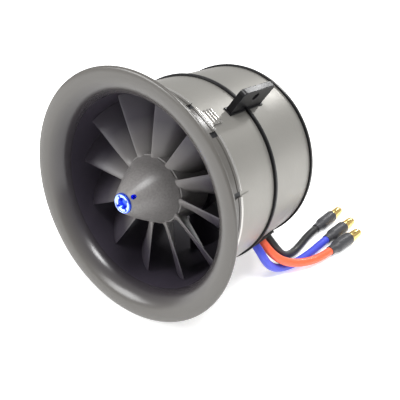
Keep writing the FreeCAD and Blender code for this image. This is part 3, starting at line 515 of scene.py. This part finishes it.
def mount_ring():
    """Black rib between the sleeves with its two ears."""
    ring = lathe("mount_ring", rounded([
        (BORE, RING_START), (SHELL, RING_START), (RING_OUT, RING_START, 0.3), (RING_OUT, RING_END, 0.3),
        (SHELL, RING_END), (BORE, RING_END)]), 224)
    for side in EARS:
        ear = block("ear", (SHELL - 0.4, -EAR_HALF, EAR_START), (EAR_TIP, EAR_HALF, EAR_END))
        corners = [edge.index for edge in tip_corners(ear)]
        weights = ear.data.attributes.new("bevel_weight_edge", "FLOAT", "EDGE")
        for index in corners:
            weights.data[index].value = 1.0
        rounding = ear.modifiers.new("corners", "BEVEL")
        rounding.limit_method = "WEIGHT"
        rounding.width = EAR_CORNER
        rounding.segments = 8
        baked(ear)
        hole = bar("hole", EAR_HOLE, -5, 5, 90, EAR_HOLE_STATION)
        hole.data.transform(Matrix.Translation((EAR_HOLE_OUT, 0, 0)))
        combine(ear, [hole], "DIFFERENCE")
        soften(ear, 0.22, 3, 50)
        foot = plate("foot", SHELL - SUNK, SHELL + FOOT_HEIGHT, EAR_START - FOOT_HEIGHT,
                     EAR_END + FOOT_HEIGHT, FOOT_WIDTH, 0, 0.15)
        for shape in (ear, foot):
            shape.data.transform(Matrix.Rotation(math.radians(side), 4, "Z"))
        combine(ring, [foot], "UNION")
        combine(ring, [ear], "UNION")
    # The ring's bore takes the dark bore look, which is partly painted shade.
    repaint(settle(ring, "mount_ring", "mount_ears"), "bore", in_bore)


def outlet_band():
    """Thin black band in front of the outlet's flange."""
    settle(lathe("outlet_band", rounded([
        (SHELL, BAND_START), (BAND, BAND_START, 0.2), (BAND, BAND_END, 0.2), (SHELL, BAND_END)]), 224),
        "outlet_band")


# ---- blades and vanes ------------------------------------------------------------------------

def through(stations, out, column):
    """A smooth value along the span, through three stations."""
    value = 0.0
    for here in stations:
        share = 1.0
        for other in stations:
            if other is not here:
                share *= (out - other[0]) / (here[0] - other[0])
        value += share * here[column]
    return value


def foils(name, stations, lead, root, tip, turns, spans=26, around=22):
    """Twisted, cambered blades. A station is (radius, chord, stagger, thickness, camber); lead(chord,
    stagger) is the station of the middle of the chord. Each blade runs out to a true cylinder."""
    shares = [(1 - math.cos(math.pi * step / around)) / 2 for step in range(around + 1)]
    loop = [(share, 1) for share in shares] + [(share, -1) for share in reversed(shares[1:-1])]
    loop.append((1.0, -1))
    loop.sort(key=lambda point: (point[1] < 0, point[0] if point[1] > 0 else -point[0]))
    ring = []
    for span in range(spans + 1):
        reach = root + (tip - root) * span / spans
        for share, side in loop:
            out = reach
            for attempt in range(4):
                chord, stagger, thick, camber = (through(stations, out, column) for column in range(1, 5))
                thick *= 1 + 1.3 * math.exp(-(reach - root) / 1.1)
                body = 5 * thick * (0.2969 * math.sqrt(share) - 0.126 * share - 0.3516 * share ** 2
                                    + 0.2843 * share ** 3 - 0.0955 * share ** 4)
                rise = camber * (1 - (2 * share - 1) ** 2) + side * (body + 0.1 * share)
                lean = math.radians(stagger)
                along = (share - 0.5) * chord
                across = along * math.cos(lean) + rise * math.sin(lean)
                station = lead(chord, stagger) + along * math.sin(lean) - rise * math.cos(lean)
                out = math.sqrt(reach ** 2 - across ** 2)
            ring.append(Vector((out, across, station)))
    count = len(loop)
    points, faces = [], []
    for turn in turns:
        start = len(points)
        spin = Matrix.Rotation(math.radians(turn), 3, "Z")
        points += [spin @ point for point in ring]
        for span in range(spans):
            low, high = start + span * count, start + (span + 1) * count
            for index in range(count):
                following = (index + 1) % count
                faces.append((low + index, low + following, high + following, high + index))
        faces.append(tuple(range(start, start + count)))
        faces.append(tuple(range(start + spans * count, start + (spans + 1) * count)))
    return solid(name, points, faces)


def rotor_blades():
    """The rotor's twelve blades, with their leading edges at one station."""
    stations = ((11.8, 12.8, 57.0, 1.5, 0.9), (23.0, 15.6, 48.0, 1.2, 1.0), (35.6, 18.2, 40.0, 0.9, 0.9))
    blades = foils("rotor_blades", stations,
                   lambda chord, stagger: BLADE_FRONT + chord * math.sin(math.radians(stagger)) / 2,
                   12.3, BLADE_TIP, [FIRST_BLADE + 360 / BLADES * index for index in range(BLADES)])
    # The blades look darkens towards the tips: painted shade.
    settle(blades, "rotor_blades", sharp=60, look="blades")


def stator_vanes():
    """Seven vanes between the cup and the duct. The lead fairing stands in the eighth place."""
    stations = ((13.5, VANE_CHORD, 112.0, 1.5, -1.6), (24.0, VANE_CHORD, 109.0, 1.5, -1.6),
                (35.6, VANE_CHORD, 106.0, 1.5, -1.6))
    vanes = foils("stator_vanes", stations, lambda chord, stagger: VANE_MIDDLE, CUP - 0.3, BORE,
                  [LEAD_ANGLE + 360 / STRUTS * index for index in range(1, STRUTS)])
    settle(vanes, "stator_vanes", sharp=60)


# ---- rotor and motor cup ---------------------------------------------------------------------

def rotor_hub():
    """Hollow hub that widens towards the motor, with a boss inside."""
    floor_end = HUB_FRONT + HUB_FLOOR
    boss_end = HUB_FRONT + BOSS_LENGTH
    settle(lathe("rotor_hub", rounded([
        (BOSS_BORE, HUB_FRONT), (HUB_NOSE, HUB_FRONT, 0.35), (HUB_TAIL, HUB_REAR, 0.2),
        (HUB_TAIL - HUB_WALL, HUB_REAR), (HUB_NOSE - HUB_WALL, floor_end), (BOSS, floor_end),
        (BOSS, boss_end), (BOSS_BORE, boss_end)]), 160), "rotor_hub")


def spinner():
    """Convex cone with a small cross hole near its tip."""
    start, end = Vector((SPINNER_NOSE, SPINNER_TIP)), Vector((SPINNER_RIM, SPINNER_REAR))
    chord = end - start
    left = Vector((-chord.y, chord.x)).normalized()
    centre = (start + end) / 2 + left * math.sqrt(SPINNER_BOW ** 2 - (chord.length / 2) ** 2)
    first, last = (math.atan2(*reversed(point - centre)) for point in (start, end))
    outline = [Vector((NUT_NECK, SPINNER_TIP))] + arc(centre, SPINNER_BOW, first, last, 24)
    outline += rounded([
        (SPINNER_RIM, SPINNER_REAR), (SPIGOT, SPINNER_REAR), (SPIGOT, HUB_FRONT), (SPINNER_INSIDE, HUB_FRONT),
        (SPINNER_INSIDE, 5.48), (4.8, SPINNER_TIP + NUT_DEPTH), (NUT_NECK, SPINNER_TIP + NUT_DEPTH)])[1:]
    cone = lathe("spinner", outline, 160)
    hole = bar("hole", CROSS_HOLE, CROSS_HOLE_FLOOR, 9, CROSS_HOLE_ANGLE, CROSS_HOLE_STATION)
    combine(cone, [hole], "DIFFERENCE")
    repaint(settle(cone, "spinner"), "nut_blue", in_cross_hole)


def spinner_nut():
    """Blue nut with a chamfered rim, a round socket and four notches. Its face and rim are a lighter blue, a
    painted highlight.
    """
    face = NUT_FACE
    body = lathe("spinner_nut", rounded([
        (0, face + 2.4), (1.4, face + 1.9), (2.1, face + 0.35, 0.08), (2.85, face + 0.35, 0.08),
        (3.05, face, 0.08), (3.3, face, 0.08), (NUT, face + 0.3, 0.08), (NUT, SPINNER_TIP),
        (NUT_NECK, SPINNER_TIP), (NUT_NECK, SPINNER_TIP + NUT_DEPTH), (4.0, SPINNER_TIP + NUT_DEPTH),
        (4.0, SPINNER_TIP + 5.4), (2, SPINNER_TIP + 5.4), (2, SPINNER_TIP + 2), (0, SPINNER_TIP + 2)]), 96)
    notches = [bar("notch", 0.45, 1.7, 2.9, 20 + 90 * index, face + 0.35, sides=16) for index in range(4)]
    combine(body, notches, "DIFFERENCE")
    # The face and rim take a lighter blue: a painted highlight.
    repaint(settle(body, "spinner_nut"), "nut_face_painted_highlight",
            lambda centre: centre.z < face + 0.45 and 2.05 < math.hypot(centre.x, centre.y) < 3.2)


def motor_cup():
    """Round cup around the motor, with a gap for its wires."""
    cup = lathe("motor_cup", rounded([
        (CUP_HOLE, CUP_FRONT), (CUP, CUP_FRONT, 1.2), (CUP, CUP_REAR, 0.3), (CUP - CUP_WALL, CUP_REAR, 0.3),
        (CUP - CUP_WALL, CUP_FRONT + 2), (CUP_HOLE, CUP_FRONT + 2)]), 128)
    combine(cup, [bar("gap", WIRE_GAP, 10, CUP + 1, LEAD_ANGLE, WIRE_GAP_STATION)], "DIFFERENCE")
    settle(cup, "motor_cup")


# ---- leads -----------------------------------------------------------------------------------

# Each lead's place in the grommet, counted along the duct from the middle hole.
LEAD_PLACES = {"blue": -1, "orange": 0, "black": 1}

# The route of each free lead, in the model's frame and in millimetres, after its straight run out of
# the grommet. The points are chosen.
LEAD_ROUTES = {
    "orange": [(34.0, 12.9, 10.0), (36.9, 15.4, 7.0), (40.2, 19.6, 4.8), (43.2, 25.0, 3.5),
               (45.2, 30.5, 2.7), (46.6, 35.5, 2.7), (47.6, 40.5, 2.7)],
    "blue": [(32.4, 8.0, 10.6), (33.6, 10.0, 6.8), (35.2, 13.6, 3.6), (37.2, 19.0, 2.0),
             (39.3, 25.5, 1.8), (40.8, 33.0, 2.0), (41.8, 40.5, 2.7), (42.7, 47.0, 2.7)],
    "black": [(32.7, 17.5, 9.8), (33.8, 19.9, 6.2), (34.6, 24.0, 3.4), (34.9, 29.5, 1.9),
              (34.6, 36.5, 1.8), (34.5, 44.5, 2.7), (35.2, 52.0, 2.7)],
}


def lead_route(colour):
    """Two points on the axis of the lead's hole in the grommet, then the points chosen for it."""
    turn = math.radians(LEAD_ANGLE)
    station = LEAD_STATION + LEAD_PLACES[colour] * LEAD_PITCH
    exits = [FAN @ Vector((out * math.cos(turn), out * math.sin(turn), station)) / MM
             for out in (BORE, BORE + EXIT_RUN)]
    return exits + [Vector(point) for point in LEAD_ROUTES[colour]]


def free_lead(colour):
    """One silicone lead with its heat-shrink sleeve and gold plug."""
    route = lead_route(colour)
    curve = bpy.data.curves.new("lead_" + colour, "CURVE")
    curve.dimensions = "3D"
    curve.bevel_depth = LEAD_RADIUS * MM
    curve.bevel_resolution = 8
    curve.resolution_u = 12
    curve.use_fill_caps = True
    line = curve.splines.new("NURBS")
    line.points.add(len(route) - 1)
    for point, place in zip(line.points, route):
        point.co = (*(place * MM), 1)
    line.order_u = 3
    line.use_endpoint_u = True
    lead = bpy.data.objects.new("free_lead_" + colour, curve)
    bpy.context.scene.collection.objects.link(lead)
    curve.materials.append(LOOKS["lead_" + colour])
    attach(lead, "duct")
    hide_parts("lead_" + colour)
    heading = (route[-1] - route[-2]).normalized()
    place = Matrix.Translation(route[-1] * MM) @ heading.to_track_quat("Z", "Y").to_matrix().to_4x4()
    place = place @ Matrix.Scale(MM, 4)
    sleeve = settle(shrink(colour), "shrink_" + colour, place=place)
    pin = settle(plug(colour), "plug_" + colour, place=place)


def shrink(colour):
    """A heat-shrink sleeve, tight on the lead and on the plug behind it, with its end drawn in."""
    outline = rounded([
        (LEAD_RADIUS, -2.2), (1.98, -2.2, 0.12), (2.02, 0.4, 1.2), (SHRINK, 2.6, 1.2),
        (SHRINK, SHRINK_LENGTH - 0.4, 0.3), (SHRINK - 0.2, SHRINK_LENGTH, 0.08), (PLUG_COLLAR, SHRINK_LENGTH),
        (PLUG_COLLAR, 2.0), (LEAD_RADIUS, 0.8)])
    return lathe("heat_shrink_" + colour, outline, 48)


def plug(colour):
    """A gold bullet plug: a collar, and a pin that bulges between four slots."""
    outline = [Vector(point) for point in ((0, 0), (LEAD_RADIUS, 0), (LEAD_RADIUS, 0.8), (PLUG_COLLAR, 2.0))]
    outline += rounded([
        (PLUG_COLLAR, 2.2), (PLUG_COLLAR, 12.9, 0.15), (1.7, 12.9), (1.7, 13.5, 0.1), (1.97, 14.8, 1.2),
        (PLUG_PIN, 16.6, 2.0), (1.85, 18.4, 0.5), (1.3, PLUG_END, 0.3), (0, PLUG_END)])[1:]
    pin = lathe("bullet_plug_" + colour, outline, 48)
    slots = []
    for turn in (0, 90):
        slots.append(block("slot", (-3, -0.12, 13.9), (3, 0.12, 18.0), turn + 20))
    combine(pin, slots, "DIFFERENCE")
    return pin


# ---- build -----------------------------------------------------------------------------------

for make in (intake_lip, sleeves, mount_ring, outlet_band, rotor_blades, stator_vanes, rotor_hub,
             spinner, spinner_nut, motor_cup):
    make()
for name in LEAD_ROUTES:
    free_lead(name)
for name, node in frame["nodes"].items():
    if not node.hide_render:
        node.data.materials.clear()
        node.data.materials.append(LOOKS[SLOT[name]])


# ---- floor, light and camera -----------------------------------------------------------------

floor = block("floor", (-2000, -2000, -20), (2000, 2000, 0))
floor.data.transform(Matrix.Scale(MM, 4))
sweep = paint("floor", (0.93, 0.93, 0.93), 0.9, specular=0.0)
surface = sweep.node_tree.nodes["Principled BSDF"]
surface.inputs["Emission Color"].default_value = (1, 1, 1, 1)
surface.inputs["Emission Strength"].default_value = 0.5
floor.data.materials.append(sweep)

world = bpy.data.worlds.new("studio")
world.use_nodes = True
backdrop = world.node_tree.nodes["Background"]
backdrop.inputs["Color"].default_value = (1, 1, 1, 1)
backdrop.inputs["Strength"].default_value = 0.6
bpy.context.scene.world = world

TARGET = Vector((0.0, 0.0, 0.04))


def softbox(name, place, size, power):
    """A square lamp that points at the middle of the fan."""
    light = bpy.data.lights.new(name, "AREA")
    light.shape = "SQUARE"
    light.size = size
    light.energy = power
    lamp = bpy.data.objects.new(name, light)
    lamp.location = place
    lamp.rotation_euler = (TARGET - Vector(place)).to_track_quat("-Z", "Y").to_euler()
    bpy.context.scene.collection.objects.link(lamp)


softbox("top", (0.22, -0.08, 0.9), 0.34, 8.0)
softbox("back", (0.05, 0.75, 0.47), 0.10, 1.6)
softbox("front", (-0.5, -0.7, 0.45), 0.4, 5.0)

camera_data = bpy.data.cameras.new("camera")
camera_data.lens = CAMERA_LENS
camera_data.sensor_width = SENSOR
camera_data.clip_start = 0.01
camera = bpy.data.objects.new("camera", camera_data)
camera.location = CAMERA_PLACE
camera.rotation_euler = CAMERA_HEADING.to_track_quat("-Z", "Y").to_euler()
bpy.context.scene.collection.objects.link(camera)
bpy.context.scene.camera = camera
bpy.context.scene.view_settings.view_transform = "Standard"

bpy.context.view_layer.update()
